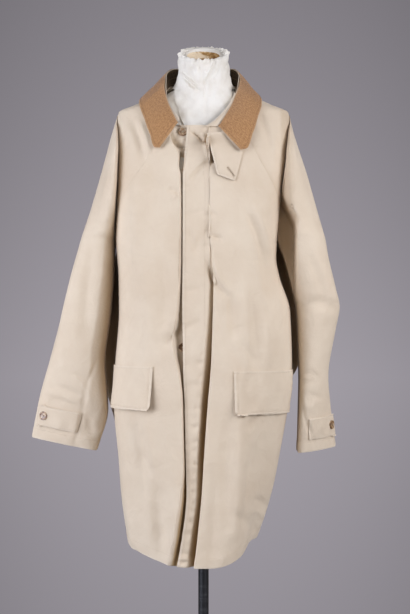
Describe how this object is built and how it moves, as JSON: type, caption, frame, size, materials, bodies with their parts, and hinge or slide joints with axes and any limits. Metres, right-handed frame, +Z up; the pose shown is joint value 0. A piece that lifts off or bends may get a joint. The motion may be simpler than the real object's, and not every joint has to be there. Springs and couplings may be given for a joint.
{
  "type": "raincoat on dress form stand",
  "caption": "Knee-length raincoat with raglan sleeves, fly front, corduroy collar and flap pockets, on a limbless dress form on a round-based stand.",
  "frame": {"origin": "middle of the round base's underside, on the floor", "axes": "+Z up; the coat's front faces -Y; +X is the wearer's left"},
  "size_m": [0.7044, 0.3873, 1.618],
  "materials": {
    "raincoat_cotton": "matt woven cotton",
    "collar_corduroy": "fine-wale corduroy",
    "button_horn": "polished horn brown",
    "form_paper": "white wrapped paper and jersey",
    "stand_metal": "satin black"
  },
  "bodies": {
    "root": {"right_front": "raincoat_cotton", "left_front": "raincoat_cotton", "fly_strip": "raincoat_cotton", "back": "raincoat_cotton", "right_sleeve_front": "raincoat_cotton", "right_sleeve_back": "raincoat_cotton", "left_sleeve_front": "raincoat_cotton", "left_sleeve_back": "raincoat_cotton", "collar_stand": "raincoat_cotton", "collar_under": "raincoat_cotton", "collar_fall": "collar_corduroy", "storm_tab": "raincoat_cotton", "right_pocket_flap": "raincoat_cotton", "left_pocket_flap": "raincoat_cotton", "right_cuff_strap": "raincoat_cotton", "left_cuff_strap": "raincoat_cotton", "throat_button": "button_horn", "front_button": "button_horn", "right_cuff_button": "button_horn", "right_cuff_spare_button": "button_horn", "left_cuff_button": "button_horn", "left_cuff_spare_button": "button_horn", "dress_form": "form_paper", "stand_pole": "stand_metal", "stand_base": "stand_metal"}
  },
  "joints": []
}
